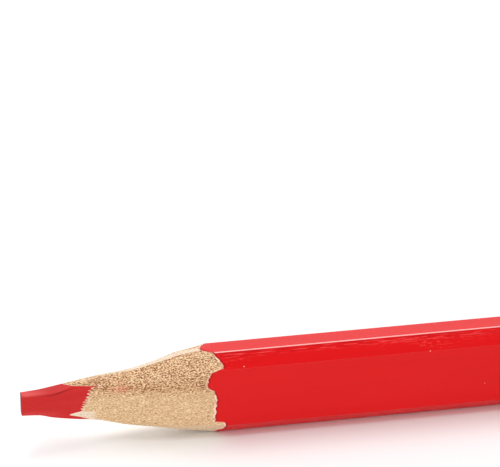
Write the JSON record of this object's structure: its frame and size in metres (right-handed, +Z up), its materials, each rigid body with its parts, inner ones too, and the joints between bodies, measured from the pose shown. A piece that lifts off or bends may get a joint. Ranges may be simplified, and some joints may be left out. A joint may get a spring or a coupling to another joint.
{
  "type": "carpenter pencil",
  "caption": "Flat red-lacquered carpenter pencil, knife-sharpened to a red chisel point, with a bare sawn butt end.",
  "frame": {"origin": "bottom centre of the bounding box, on the surface that the pencil stands on with its lower narrow face", "axes": "+X along the pencil from the sharpened point to the butt end, +Y out of the back wide face, +Z up out of the upper narrow face"},
  "size_m": [0.175, 0.0074, 0.015],
  "materials": {
    "slat_wood": "matte",
    "marking_core": "satin",
    "glue": "satin",
    "undercoat": "matte",
    "red_lacquer": "gloss",
    "gold_foil": "satin"
  },
  "bodies": {
    "root": {"front_slat": "slat_wood", "back_slat": "slat_wood", "marking_core": "marking_core", "front_core_bedding": "glue", "back_core_bedding": "glue", "upper_glue_seam": "glue", "lower_glue_seam": "glue", "undercoat": "undercoat", "lacquer_coat": "red_lacquer", "foil_stamp_end": "gold_foil", "foil_stamp_middle": "gold_foil"}
  },
  "joints": []
}
